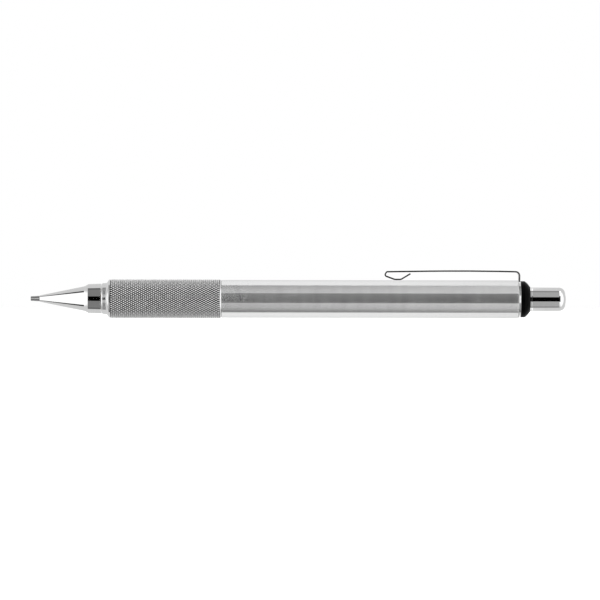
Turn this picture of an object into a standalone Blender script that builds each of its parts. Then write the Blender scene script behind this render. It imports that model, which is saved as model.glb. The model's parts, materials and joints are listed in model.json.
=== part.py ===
"""A metal mechanical pencil for 0.7 mm lead, as the separate pieces that it comes apart into.

The pencil lies along X, with its tip towards -X, its push button towards +X and its clip on top.
Every length below is in millimetres. A station is a distance along the pencil, measured back from
the front of the lead sleeve, and a radius or a height is measured from the pencil's axis. The mesh
builders turn both into metres.
"""

import math

import bmesh
import bpy
from mathutils import Matrix, Vector

MM = 0.001

# Facets. The flats of a turned piece lie at its stated radius.
SIDES = 24
JAW_SIDES = 30
ROD_SIDES = 12
WIRE_STEPS = 12

# Clearances between pieces.
PRESS_GAP = 0.03
SLIDE_GAP = 0.05
JOINT_GAP = 0.08

# Outer shape, from the tip to the button.
TOTAL_LENGTH = 136.97
SLEEVE_FRONT_RADIUS = 0.57
SLEEVE_REAR_RADIUS = 0.70
CONE_FRONT = 2.30
CONE_FRONT_RADIUS = 0.80
FLARE_FRONT = 13.75
FLARE_FRONT_RADIUS = 3.155
FLARE_REAR = 14.70
FLARE_REAR_RADIUS = 3.70
CONE_REAR = 17.90
CONE_REAR_RADIUS = 3.82
GRIP_FRONT = 18.20
NOSE_RADIUS = 3.97
COVE_FRONT = 19.40
COVE_FRONT_RADIUS = 4.065
KNURL_FRONT = 21.00
KNURL_REAR = 48.40
GRIP_REAR = 48.72
GRIP_RADIUS = 4.93
BARREL_FRONT = 48.80
BARREL_REAR = 124.80
BARREL_RADIUS = 4.83
RING_FRONT = 124.85
RING_REAR = 125.42
RING_RADIUS = 4.75
COLLAR_RADIUS = 4.65
COLLAR_CYLINDER_REAR = 126.35
COLLAR_REAR = 127.80
COLLAR_REAR_RADIUS = 3.25
BUTTON_RADIUS = 3.04
BUTTON_TAPER_RADIUS = 2.99
BUTTON_CORNER_RADIUS = 1.87
BUTTON_CROWN = 0.20

# Lead and what guides it in the tip.
LEAD_RADIUS = 0.35
LEAD_FRONT = 0.25
LEAD_REAR = 42.00
LEAD_BORE_RADIUS = 0.40
SLEEVE_SHANK_RADIUS = 0.60
SLEEVE_SHANK_REAR = 5.50
LEAD_PASSAGE_RADIUS = 0.45
RETAINER_SEAT_FRONT = 8.60
RETAINER_SEAT_RADIUS = 1.50
RETAINER_LENGTH = 2.25
CHAMBER_FRONT = 11.20
CHAMBER_RADIUS = 2.00
CHAMBER_REAR = 15.40

# Collet chuck and its ring.
JAW_COUNT = 3
JAW_ARC = 108
FIRST_JAW_ANGLE = 90
JAW_FRONT = 14.60
JAW_HEAD_REAR = 16.00
JAW_HEAD_RADIUS = 1.60
JAW_TAPER_REAR = 17.60
JAW_TAPER_RADIUS = 1.25
JAW_ROOT = 24.00
CHUCK_RADIUS = 1.15
CHUCK_BORE_RADIUS = 0.75
JAW_GRIP_RADIUS = 0.38
CHUCK_REAR = 35.00
CHUCK_RING_FRONT = 16.40
CHUCK_RING_REAR = 18.90
CHUCK_RING_RADIUS = 2.25
CHUCK_RING_BORE_RADIUS = 1.36
CHUCK_RING_MOUTH_RADIUS = 1.65
CHUCK_RING_MOUTH_DEPTH = 1.00

# Brass sleeve that holds the mechanism in the grip.
THREAD_RADIUS = 2.70
MECHANISM_FRONT = 15.50
PARTITION_FRONT = 18.95
PARTITION_REAR = 20.50
PARTITION_RADIUS = 1.50
GRIP_SHOULDER = 21.20
MECHANISM_RADIUS = 3.15
MECHANISM_REAR = 46.00
SPRING_CHAMBER_RADIUS = 2.65

# Return spring.
WIRE_RADIUS = 0.20
COIL_RADIUS = 2.10
CLOSED_TURNS = 1
OPEN_TURNS = 6
CLOSED_PITCH = 0.45

# Connector from the chuck to the lead tube.
CONNECTOR_FRONT = 31.60
FLANGE_LENGTH = 1.00
FLANGE_RADIUS = 2.50
CONNECTOR_WAIST_RADIUS = 2.05
CONNECTOR_STOP = 37.00
CONNECTOR_REAR = 43.00
FUNNEL_FRONT = 36.00
FUNNEL_MOUTH_RADIUS = 1.80

# Lead tube and the spare leads that lie along its bottom.
TUBE_FRONT = 38.20
TUBE_REAR = 127.00
TUBE_RADIUS = 2.50
TUBE_BORE_RADIUS = 2.10
SPARE_LEAD_COUNT = 3
SPARE_LEAD_FRONT = 48.00
SPARE_LEAD_LENGTH = 60.00
SPARE_LEAD_OFFSET = 1.69
SPARE_LEAD_SPREAD = 27

# Threaded joint between the grip and the barrel.
SPIGOT_RADIUS = 3.70
SPIGOT_REAR = 56.20
GRIP_BORE_RADIUS = 3.20
BARREL_BORE_RADIUS = 4.25
BUSH_FRONT = 49.20
BUSH_REAR = 56.80

# Eraser, its ferrule and the button over them.
COLLAR_FRONT = 117.00
COLLAR_BORE_RADIUS = 3.15
BUTTON_FRONT = 121.50
BUTTON_BORE_RADIUS = 2.60
BUTTON_BORE_REAR = 135.40
FERRULE_FRONT = 121.50
FERRULE_REAR = 129.50
FERRULE_RADIUS = 2.07
FERRULE_BORE_RADIUS = 1.85
FERRULE_RIM_RADIUS = 2.45
FERRULE_RIM_LENGTH = 0.55
ERASER_FRONT = 124.00
ERASER_REAR = 134.90
ERASER_RADIUS = 1.80

# Clip: a strip bent up from its ring, along the barrel and round into a spring toe.
CLIP_THICKNESS = 0.32
CLIP_REAR_WIDTH = 3.60
CLIP_FRONT_WIDTH = 3.20
CLIP_HINGE_STATION = 124.20
CLIP_HINGE_HEIGHT = 7.28
CLIP_SPLIT = 0.03
LEG_FOOT_STATION = 125.03
LEG_FOOT_HEIGHT = 4.40
LEG_BEND_RADIUS = 0.80
# Corners of the strip's centre line: station, height and the radius of the bend there.
CLIP_LEG = [(LEG_FOOT_STATION, LEG_FOOT_HEIGHT, 0), (125.08, CLIP_HINGE_HEIGHT, LEG_BEND_RADIUS)]
CLIP_ARM = [
    (118.00, 7.32, 0),
    (104.00, 7.32, 0),
    (94.50, 7.13, 0),
    (91.05, 6.98, 0.35),
    (90.52, 6.00, 0.45),
    (92.35, 5.04, 1.60),
    (94.75, 5.04, 1.00),
    (97.15, 6.50, 0),
]
BEND_STEPS = 4

# Finish: base colour, metallic and roughness.
SATIN_STEEL = ((0.60, 0.60, 0.60), 1.0, 0.28)
POLISHED_STEEL = ((0.74, 0.74, 0.74), 1.0, 0.08)
KNURLED_STEEL = ((0.52, 0.52, 0.52), 1.0, 0.30)
SPRING_STEEL = ((0.45, 0.45, 0.46), 1.0, 0.25)
BRASS = ((0.71, 0.54, 0.26), 1.0, 0.25)
BLACK_PLASTIC = ((0.012, 0.012, 0.012), 0.0, 0.30)
CLEAR_GREY_PLASTIC = ((0.55, 0.56, 0.58), 0.0, 0.25)
BLACK_RUBBER = ((0.03, 0.03, 0.03), 0.0, 0.70)
GRAPHITE = ((0.06, 0.06, 0.065), 0.3, 0.40)
WHITE_VINYL = ((0.86, 0.86, 0.84), 0.0, 0.60)

SMOOTH_ANGLE = math.radians(30)


def clear_scene():
    """Remove whatever the scene holds before the model is made."""
    for old in list(bpy.data.objects):
        bpy.data.objects.remove(old, do_unlink=True)


def place(station, height=0.0):
    """World position of a point on the pencil's middle plane."""
    return Vector(((station - TOTAL_LENGTH / 2) * MM, 0.0, (GRIP_RADIUS + height) * MM))


def joint_empty(name, parent, station, height=0.0):
    """Empty on a moving group's joint axis, which the group's pieces hang from."""
    empty = bpy.data.objects.new(name, None)
    empty.empty_display_size = 3 * MM
    bpy.context.scene.collection.objects.link(empty)
    attach(empty, parent, place(station, height))
    return empty


def attach(piece, parent, position):
    """Parent a piece and put its origin at a world position."""
    piece.parent = parent
    piece.location = position
    while parent is not None:
        piece.location -= parent.location
        parent = parent.parent


def make_piece(name, data, parent, origin, finish):
    """Link one named object with its own material, its origin at a point of the middle plane."""
    colour, metallic, roughness = finish
    material = bpy.data.materials.new(name)
    material.use_nodes = True
    shader = material.node_tree.nodes["Principled BSDF"]
    shader.inputs["Base Color"].default_value = (*colour, 1.0)
    shader.inputs["Metallic"].default_value = metallic
    shader.inputs["Roughness"].default_value = roughness
    data.materials.append(material)
    piece = bpy.data.objects.new(name, data)
    bpy.context.scene.collection.objects.link(piece)
    attach(piece, parent, place(*origin))
    return piece


def mesh_from(shape, name):
    """Turn a finished bmesh into a smooth-shaded mesh with its faces pointing out."""
    bmesh.ops.recalc_face_normals(shape, faces=shape.faces)
    mesh = bpy.data.meshes.new(name)
    shape.to_mesh(mesh)
    shape.free()
    mesh.shade_smooth()
    mesh.set_sharp_from_angle(angle=SMOOTH_ANGLE)
    return mesh


def turned(name, outline, parent, finish, sides=SIDES, offset=(0.0, 0.0)):
    """Full turn of an outline of (station, radius) points about a line along the pencil.

    An outline that starts and ends on the axis makes a solid piece, and any other is closed
    into a loop and makes a ring. The line runs through offset, a (Y, Z) from the pencil's axis.
    """
    origin = outline[0][0]
    step = 2 * math.pi / sides
    shape = bmesh.new()
    rim = outline_verts(shape, outline, origin, step / 2, step)
    edges = [shape.edges.new(pair) for pair in zip(rim, rim[1:])]
    if outline[0][1] > 0:
        edges.append(shape.edges.new((rim[-1], rim[0])))
    bmesh.ops.spin(shape, geom=edges, cent=(0, 0, 0), axis=(1, 0, 0),
                   angle=2 * math.pi, steps=sides, use_merge=True)
    bmesh.ops.remove_doubles(shape, verts=shape.verts, dist=0.0001 * MM)
    bmesh.ops.translate(shape, verts=shape.verts, vec=(0.0, offset[0] * MM, offset[1] * MM))
    return make_piece(name, mesh_from(shape, name), parent, (origin,), finish)


def sector(name, outline, parent, origin, finish, arc, middle):
    """Part of a turn of a closed outline, over an arc in degrees about a middle direction."""
    steps = round(JAW_SIDES * arc / 360)
    step = math.radians(arc) / steps
    shape = bmesh.new()
    rim = outline_verts(shape, outline, origin, math.radians(middle - arc / 2), step)
    edges = [shape.edges.new(pair) for pair in zip(rim, rim[1:] + rim[:1])]
    bmesh.ops.spin(shape, geom=edges, cent=(0, 0, 0), axis=(1, 0, 0),
                   angle=math.radians(arc), steps=steps)
    open_edges = [edge for edge in shape.edges if edge.is_boundary]
    bmesh.ops.holes_fill(shape, edges=open_edges)
    return make_piece(name, mesh_from(shape, name), parent, (origin,), finish)


def outline_verts(shape, outline, origin, angle, step):
    """Vertices of a half section in the plane at an angle, out where a facet's corners are."""
    corner = MM / math.cos(step / 2)
    across = math.cos(angle) * corner
    up = math.sin(angle) * corner
    return [shape.verts.new(((station - origin) * MM, radius * across, radius * up))
            for station, radius in outline]


def bent_path(corners):
    """Points of a line through corners, each rounded to its own bend radius."""
    points = [Vector(corners[0][:2])]
    for before, corner, after in zip(corners, corners[1:], corners[2:]):
        bend = corner[2]
        here = Vector(corner[:2])
        if bend == 0:
            points.append(here)
            continue
        back = (Vector(before[:2]) - here).normalized()
        ahead = (Vector(after[:2]) - here).normalized()
        half_angle = back.angle(ahead) / 2
        centre = here + (back + ahead).normalized() * bend / math.sin(half_angle)
        start = here + back * bend / math.tan(half_angle) - centre
        end = here + ahead * bend / math.tan(half_angle) - centre
        sweep = -start.angle_signed(end)
        for number in range(BEND_STEPS + 1):
            points.append(centre + Matrix.Rotation(sweep * number / BEND_STEPS, 2) @ start)
    points.append(Vector(corners[-1][:2]))
    return points


def strip_mesh(name, points, origin, rear_width, front_width):
    """Flat strip of the clip's thickness along points of its centre line, from rear to front."""
    shape = bmesh.new()
    count = len(points)
    rings = []
    for number, point in enumerate(points):
        before = points[max(number - 1, 0)]
        after = points[min(number + 1, count - 1)]
        into = (point - before).normalized() if number > 0 else Vector((0.0, 0.0))
        out = (after - point).normalized() if number < count - 1 else Vector((0.0, 0.0))
        along = (into + out).normalized()
        straight = out if number == 0 else into
        miter = CLIP_THICKNESS / 2 / along.dot(straight)
        normal = Vector((-along.y, along.x)) * miter
        width = rear_width + (front_width - rear_width) * number / (count - 1)
        ring = []
        for side, face in ((-1, -1), (1, -1), (1, 1), (-1, 1)):
            corner = (point - Vector(origin) + normal * face) * MM
            ring.append(shape.verts.new((corner.x, side * width / 2 * MM, corner.y)))
        rings.append(ring)
    for ring, following in zip(rings, rings[1:]):
        for index in range(4):
            onward = (index + 1) % 4
            shape.faces.new((ring[index], ring[onward], following[onward], following[index]))
    shape.faces.new(rings[0])
    shape.faces.new(rings[-1])
    return mesh_from(shape, name)


def lead_rod(name, front, rear, parent, offset=(0.0, 0.0)):
    """A stick of lead."""
    outline = [(front, 0), (front, LEAD_RADIUS), (rear, LEAD_RADIUS), (rear, 0)]
    return turned(name, outline, parent, GRAPHITE, sides=ROD_SIDES, offset=offset)


def lead_sleeve(parent):
    """Slim steel tube that the lead comes out of, with a shank pressed into the cone."""
    return turned("lead_sleeve", [
        (0.0, LEAD_BORE_RADIUS),
        (0.0, SLEEVE_FRONT_RADIUS),
        (CONE_FRONT - SLIDE_GAP, SLEEVE_REAR_RADIUS),
        (CONE_FRONT - SLIDE_GAP, SLEEVE_SHANK_RADIUS),
        (SLEEVE_SHANK_REAR, SLEEVE_SHANK_RADIUS),
        (SLEEVE_SHANK_REAR, LEAD_BORE_RADIUS),
    ], parent, POLISHED_STEEL)


def tip_cone(parent):
    """Polished cone with the sleeve's socket, the retainer's seat and a thread at the rear."""
    pocket_radius = SLEEVE_SHANK_RADIUS + PRESS_GAP
    pocket_rear = SLEEVE_SHANK_REAR + SLIDE_GAP
    flare_middle = (FLARE_FRONT + FLARE_REAR) / 2
    flare_middle_radius = (2 * FLARE_FRONT_RADIUS + FLARE_REAR_RADIUS) / 3
    rear_edge = 0.06
    return turned("tip_cone", [
        (CONE_FRONT, pocket_radius),
        (CONE_FRONT, CONE_FRONT_RADIUS),
        (FLARE_FRONT, FLARE_FRONT_RADIUS),
        (flare_middle, flare_middle_radius),
        (FLARE_REAR, FLARE_REAR_RADIUS),
        (CONE_REAR - rear_edge, CONE_REAR_RADIUS),
        (CONE_REAR, CONE_REAR_RADIUS - rear_edge),
        (CONE_REAR, THREAD_RADIUS + SLIDE_GAP),
        (CHAMBER_REAR, THREAD_RADIUS + SLIDE_GAP),
        (CHAMBER_REAR, CHAMBER_RADIUS),
        (CHAMBER_FRONT, CHAMBER_RADIUS),
        (CHAMBER_FRONT, RETAINER_SEAT_RADIUS),
        (RETAINER_SEAT_FRONT, RETAINER_SEAT_RADIUS),
        (RETAINER_SEAT_FRONT, LEAD_PASSAGE_RADIUS),
        (pocket_rear, LEAD_PASSAGE_RADIUS),
        (pocket_rear, pocket_radius),
    ], parent, POLISHED_STEEL)


def lead_retainer(parent):
    """Small rubber bush that keeps the lead from dropping back when the chuck opens."""
    front = RETAINER_SEAT_FRONT + SLIDE_GAP
    rear = front + RETAINER_LENGTH
    radius = RETAINER_SEAT_RADIUS - SLIDE_GAP
    edge = 0.25
    return turned("lead_retainer", [
        (front, LEAD_BORE_RADIUS),
        (front, radius - edge),
        (front + edge, radius),
        (rear, radius),
        (rear, LEAD_BORE_RADIUS),
    ], parent, BLACK_RUBBER)


def chuck_jaws(parents):
    """Three fingers of the brass collet, each a sector that swings out from its root."""
    edge = 0.15
    outline = [
        (JAW_FRONT, JAW_GRIP_RADIUS),
        (JAW_FRONT, JAW_HEAD_RADIUS - edge),
        (JAW_FRONT + edge, JAW_HEAD_RADIUS),
        (JAW_HEAD_REAR, JAW_HEAD_RADIUS),
        (JAW_TAPER_REAR, JAW_TAPER_RADIUS),
        (JAW_TAPER_REAR + edge, CHUCK_RADIUS),
        (JAW_ROOT, CHUCK_RADIUS),
        (JAW_ROOT, CHUCK_BORE_RADIUS),
        (JAW_TAPER_REAR, CHUCK_BORE_RADIUS),
        (JAW_TAPER_REAR - edge, JAW_GRIP_RADIUS),
    ]
    for number, parent in enumerate(parents):
        middle = FIRST_JAW_ANGLE + number * 360 / JAW_COUNT
        sector(f"chuck_jaw_{number + 1}", outline, parent, JAW_ROOT, BRASS, JAW_ARC, middle)


def chuck_body(parent):
    """Rear tube of the collet, pushed into the connector."""
    return turned("chuck_body", [
        (JAW_ROOT + JOINT_GAP, CHUCK_BORE_RADIUS),
        (JAW_ROOT + JOINT_GAP, CHUCK_RADIUS),
        (CHUCK_REAR, CHUCK_RADIUS),
        (CHUCK_REAR, CHUCK_BORE_RADIUS),
    ], parent, BRASS)


def chuck_ring(parent):
    """Loose ring that holds the collet shut until it meets the cone's shoulder."""
    return turned("chuck_ring", [
        (CHUCK_RING_FRONT, CHUCK_RING_MOUTH_RADIUS),
        (CHUCK_RING_FRONT, CHUCK_RING_RADIUS),
        (CHUCK_RING_REAR, CHUCK_RING_RADIUS),
        (CHUCK_RING_REAR, CHUCK_RING_BORE_RADIUS),
        (CHUCK_RING_FRONT + CHUCK_RING_MOUTH_DEPTH, CHUCK_RING_BORE_RADIUS),
    ], parent, BRASS)


def inner_sleeve(parent):
    """Brass sleeve: its front thread clamps the cone to the grip, its rear holds the spring."""
    edge = 0.10
    return turned("inner_sleeve", [
        (MECHANISM_FRONT, CHUCK_RING_RADIUS + SLIDE_GAP),
        (MECHANISM_FRONT, THREAD_RADIUS - edge),
        (MECHANISM_FRONT + edge, THREAD_RADIUS),
        (GRIP_SHOULDER + SLIDE_GAP, THREAD_RADIUS),
        (GRIP_SHOULDER + SLIDE_GAP, MECHANISM_RADIUS),
        (MECHANISM_REAR, MECHANISM_RADIUS),
        (MECHANISM_REAR, SPRING_CHAMBER_RADIUS),
        (PARTITION_REAR, SPRING_CHAMBER_RADIUS),
        (PARTITION_REAR, PARTITION_RADIUS),
        (PARTITION_FRONT, PARTITION_RADIUS),
        (PARTITION_FRONT, CHUCK_RING_RADIUS + SLIDE_GAP),
    ], parent, BRASS)


def return_spring(parent):
    """Coil spring from the sleeve's partition to the connector, with a closed turn at each end."""
    seat_gap = 0.10
    front = PARTITION_REAR + seat_gap + WIRE_RADIUS
    rear = CONNECTOR_FRONT - seat_gap - WIRE_RADIUS
    open_pitch = (rear - front - 2 * CLOSED_TURNS * CLOSED_PITCH) / OPEN_TURNS
    turns = OPEN_TURNS + 2 * CLOSED_TURNS
    curve = bpy.data.curves.new("return_spring", "CURVE")
    curve.dimensions = "3D"
    curve.bevel_depth = WIRE_RADIUS * MM
    curve.bevel_resolution = 1
    curve.use_fill_caps = True
    spline = curve.splines.new("POLY")
    spline.points.add(turns * WIRE_STEPS)
    for number, point in enumerate(spline.points):
        turn = number / WIRE_STEPS
        first = min(turn, CLOSED_TURNS)
        last = max(turn - CLOSED_TURNS - OPEN_TURNS, 0)
        along = (first + last) * CLOSED_PITCH + (turn - first - last) * open_pitch
        angle = 2 * math.pi * turn
        point.co = (
            (front + along - PARTITION_REAR) * MM,
            COIL_RADIUS * math.cos(angle) * MM,
            COIL_RADIUS * math.sin(angle) * MM,
            1.0,
        )
    return make_piece("return_spring", curve, parent, (PARTITION_REAR,), SPRING_STEEL)


def chuck_connector(parent):
    """Plastic link: the chuck's socket in front, a funnel for the lead and the tube's spigot."""
    socket_radius = CHUCK_RADIUS + SLIDE_GAP
    socket_rear = CHUCK_REAR + SLIDE_GAP
    stop_rear = TUBE_FRONT - SLIDE_GAP
    return turned("chuck_connector", [
        (CONNECTOR_FRONT, socket_radius),
        (CONNECTOR_FRONT, FLANGE_RADIUS),
        (CONNECTOR_FRONT + FLANGE_LENGTH, FLANGE_RADIUS),
        (CONNECTOR_FRONT + FLANGE_LENGTH, CONNECTOR_WAIST_RADIUS),
        (CONNECTOR_STOP, CONNECTOR_WAIST_RADIUS),
        (CONNECTOR_STOP, FLANGE_RADIUS),
        (stop_rear, FLANGE_RADIUS),
        (stop_rear, CONNECTOR_WAIST_RADIUS),
        (CONNECTOR_REAR, CONNECTOR_WAIST_RADIUS),
        (CONNECTOR_REAR, FUNNEL_MOUTH_RADIUS),
        (FUNNEL_FRONT, CHUCK_BORE_RADIUS),
        (socket_rear, CHUCK_BORE_RADIUS),
        (socket_rear, socket_radius),
    ], parent, BLACK_PLASTIC)


def lead_tube(parent):
    """Plastic tube that stores the spare leads and carries the push from the button."""
    return turned("lead_tube", [
        (TUBE_FRONT, TUBE_BORE_RADIUS),
        (TUBE_FRONT, TUBE_RADIUS),
        (TUBE_REAR, TUBE_RADIUS),
        (TUBE_REAR, TUBE_BORE_RADIUS),
    ], parent, CLEAR_GREY_PLASTIC)


def spare_leads(parent):
    """Spare leads side by side along the bottom of the tube."""
    middle = (SPARE_LEAD_COUNT - 1) / 2
    rear = SPARE_LEAD_FRONT + SPARE_LEAD_LENGTH
    for number in range(SPARE_LEAD_COUNT):
        angle = math.radians(-90 + (number - middle) * SPARE_LEAD_SPREAD)
        offset = (SPARE_LEAD_OFFSET * math.cos(angle), SPARE_LEAD_OFFSET * math.sin(angle))
        lead_rod(f"spare_lead_{number + 1}", SPARE_LEAD_FRONT, rear, parent, offset)


def eraser_ferrule(parent):
    """Metal holder of the eraser, which plugs the rear of the lead tube."""
    rim_front = TUBE_REAR + SLIDE_GAP
    rim_rear = rim_front + FERRULE_RIM_LENGTH
    return turned("eraser_ferrule", [
        (FERRULE_FRONT, FERRULE_BORE_RADIUS),
        (FERRULE_FRONT, FERRULE_RADIUS),
        (rim_front, FERRULE_RADIUS),
        (rim_front, FERRULE_RIM_RADIUS),
        (rim_rear, FERRULE_RIM_RADIUS),
        (rim_rear, FERRULE_RADIUS),
        (FERRULE_REAR, FERRULE_RADIUS),
        (FERRULE_REAR, FERRULE_BORE_RADIUS),
    ], parent, SATIN_STEEL)


def eraser(parent):
    """Round eraser with a chamfered end."""
    edge = 0.30
    return turned("eraser", [
        (ERASER_FRONT, 0),
        (ERASER_FRONT, ERASER_RADIUS),
        (ERASER_REAR - edge, ERASER_RADIUS),
        (ERASER_REAR, ERASER_RADIUS - edge),
        (ERASER_REAR, 0),
    ], parent, WHITE_VINYL)


def button_cap(parent):
    """Push button: a domed cup that pulls off the tube to reach the eraser."""
    edge = 0.10
    corner_centre = TOTAL_LENGTH - BUTTON_CROWN - BUTTON_CORNER_RADIUS
    corner_inner = BUTTON_TAPER_RADIUS - BUTTON_CORNER_RADIUS
    corner_steps = 5
    outline = [
        (BUTTON_BORE_REAR, 0),
        (BUTTON_BORE_REAR, BUTTON_BORE_RADIUS),
        (BUTTON_FRONT, BUTTON_BORE_RADIUS),
        (BUTTON_FRONT, BUTTON_RADIUS - edge),
        (BUTTON_FRONT + edge, BUTTON_RADIUS),
        (COLLAR_REAR, BUTTON_RADIUS),
    ]
    for number in range(corner_steps + 1):
        angle = math.pi / 2 * number / corner_steps
        outline.append((
            corner_centre + BUTTON_CORNER_RADIUS * math.sin(angle),
            corner_inner + BUTTON_CORNER_RADIUS * math.cos(angle),
        ))
    outline.append((TOTAL_LENGTH, 0))
    return turned("button_cap", outline, parent, POLISHED_STEEL)


def grip(parent):
    """Knurled grip with a bare nose, a cove up to the knurl and a threaded spigot behind."""
    edge = 0.10
    cove_middle = (19.90, 4.555)
    cove_rear = (20.40, 4.815)
    return turned("grip", [
        (GRIP_FRONT, THREAD_RADIUS + SLIDE_GAP),
        (GRIP_FRONT, NOSE_RADIUS - edge),
        (GRIP_FRONT + edge, NOSE_RADIUS),
        (COVE_FRONT, COVE_FRONT_RADIUS),
        cove_middle,
        cove_rear,
        (KNURL_FRONT, GRIP_RADIUS),
        (KNURL_REAR, GRIP_RADIUS),
        (GRIP_REAR, GRIP_RADIUS - (GRIP_REAR - KNURL_REAR)),
        (GRIP_REAR, SPIGOT_RADIUS),
        (SPIGOT_REAR - edge, SPIGOT_RADIUS),
        (SPIGOT_REAR, SPIGOT_RADIUS - edge),
        (SPIGOT_REAR, GRIP_BORE_RADIUS),
        (GRIP_SHOULDER, GRIP_BORE_RADIUS),
        (GRIP_SHOULDER, THREAD_RADIUS + SLIDE_GAP),
    ], parent, KNURLED_STEEL)


def barrel(parent):
    """Thin stainless tube of the body."""
    edge = 0.10
    return turned("barrel", [
        (BARREL_FRONT, BARREL_BORE_RADIUS),
        (BARREL_FRONT, BARREL_RADIUS - edge),
        (BARREL_FRONT + edge, BARREL_RADIUS),
        (BARREL_REAR - edge, BARREL_RADIUS),
        (BARREL_REAR, BARREL_RADIUS - edge),
        (BARREL_REAR, BARREL_BORE_RADIUS),
    ], parent, SATIN_STEEL)


def barrel_bush(parent):
    """Brass bush pressed into the front of the barrel, which the grip screws into."""
    return turned("barrel_bush", [
        (BUSH_FRONT, SPIGOT_RADIUS + SLIDE_GAP),
        (BUSH_FRONT, BARREL_BORE_RADIUS - PRESS_GAP),
        (BUSH_REAR, BARREL_BORE_RADIUS - PRESS_GAP),
        (BUSH_REAR, SPIGOT_RADIUS + SLIDE_GAP),
    ], parent, BRASS)


def collar(parent):
    """Black end plug: a spigot in the barrel, a chamfered head and a bore that guides the button."""
    edge = 0.20
    chamfer_steps = 3
    outline = [
        (COLLAR_FRONT, COLLAR_BORE_RADIUS),
        (COLLAR_FRONT, BARREL_BORE_RADIUS - PRESS_GAP - edge),
        (COLLAR_FRONT + edge, BARREL_BORE_RADIUS - PRESS_GAP),
        (RING_REAR + SLIDE_GAP, BARREL_BORE_RADIUS - PRESS_GAP),
        (RING_REAR + SLIDE_GAP, COLLAR_RADIUS),
    ]
    chamfer_length = COLLAR_REAR - edge / 2 - COLLAR_CYLINDER_REAR
    chamfer_drop = COLLAR_RADIUS - COLLAR_REAR_RADIUS
    bulge = 0.12
    for number in range(chamfer_steps + 1):
        part = number / chamfer_steps
        rise = bulge * math.sin(math.pi * part)
        outline.append((
            COLLAR_CYLINDER_REAR + chamfer_length * part + rise,
            COLLAR_RADIUS - chamfer_drop * part + rise,
        ))
    outline.append((COLLAR_REAR, COLLAR_REAR_RADIUS - edge / 4))
    outline.append((COLLAR_REAR, COLLAR_BORE_RADIUS))
    return turned("collar", outline, parent, BLACK_PLASTIC)


def clip_ring(parent):
    """Ring held between the barrel and the collar, with the clip's leg rising from it."""
    bore_radius = BARREL_BORE_RADIUS
    edge = 0.08
    ring = turned("clip_ring", [
        (RING_FRONT, bore_radius),
        (RING_FRONT, RING_RADIUS - edge),
        (RING_FRONT + edge, RING_RADIUS),
        (RING_REAR - edge, RING_RADIUS),
        (RING_REAR, RING_RADIUS - edge),
        (RING_REAR, bore_radius),
    ], parent, POLISHED_STEEL)
    hinge = (CLIP_HINGE_STATION + CLIP_SPLIT / 2, CLIP_HINGE_HEIGHT, 0)
    path = bent_path(CLIP_LEG + [hinge])
    mesh = strip_mesh("clip_leg", path, (RING_FRONT, 0.0), CLIP_REAR_WIDTH, CLIP_REAR_WIDTH)
    leg = make_piece("clip_leg", mesh, parent, (RING_FRONT,), POLISHED_STEEL)
    leg.hide_render = True
    leg.display_type = "WIRE"
    union = ring.modifiers.new("leg", "BOOLEAN")
    union.operation = "UNION"
    union.solver = "EXACT"
    union.object = leg
    return ring


def clip_arm(parent):
    """Spring arm of the clip, from the bend above the ring to the curled toe on the barrel."""
    hinge = (CLIP_HINGE_STATION, CLIP_HINGE_HEIGHT)
    start = (CLIP_HINGE_STATION - CLIP_SPLIT / 2, CLIP_HINGE_HEIGHT, 0)
    path = bent_path([start] + CLIP_ARM)
    mesh = strip_mesh("clip_arm", path, hinge, CLIP_REAR_WIDTH, CLIP_FRONT_WIDTH)
    return make_piece("clip_arm", mesh, parent, hinge, POLISHED_STEEL)


def build():
    """Model every piece on the empty that it moves with."""
    clear_scene()
    body = joint_empty("barrel_group", None, BARREL_FRONT)
    barrel(body)
    barrel_bush(body)
    clip_ring(body)
    collar(body)
    clip_arm(joint_empty("clip_hinge", body, CLIP_HINGE_STATION, CLIP_HINGE_HEIGHT))

    front = joint_empty("front_section", body, GRIP_FRONT)
    grip(front)
    inner_sleeve(front)
    return_spring(front)
    chuck_ring(joint_empty("ring_slide", front, CHUCK_RING_FRONT))
    lead_rod("lead", LEAD_FRONT, LEAD_REAR, joint_empty("lead_slide", front, LEAD_FRONT))

    tip = joint_empty("tip_section", front, CONE_REAR)
    tip_cone(tip)
    lead_sleeve(tip)
    lead_retainer(tip)

    plunger = joint_empty("plunger", front, CONNECTOR_FRONT)
    chuck_body(plunger)
    chuck_connector(plunger)
    lead_tube(plunger)
    spare_leads(plunger)
    hinges = [joint_empty(f"jaw_hinge_{number + 1}", plunger, JAW_ROOT) for number in range(JAW_COUNT)]
    chuck_jaws(hinges)
    button_cap(joint_empty("cap_slide", plunger, BUTTON_FRONT))
    refill = joint_empty("eraser_slide", plunger, FERRULE_FRONT)
    eraser_ferrule(refill)
    eraser(refill)


build()
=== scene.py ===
"""The looks of the metal mechanical pencil: fine turned surfaces, a cut knurl, threads and finishes.

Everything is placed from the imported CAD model. Lengths in the outlines are millimetres: a station
is a distance back from the front of the lead sleeve, and a radius is measured from the axis.
"""
import json
import math

import bmesh
import bpy
from mathutils import Matrix, Vector


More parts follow.
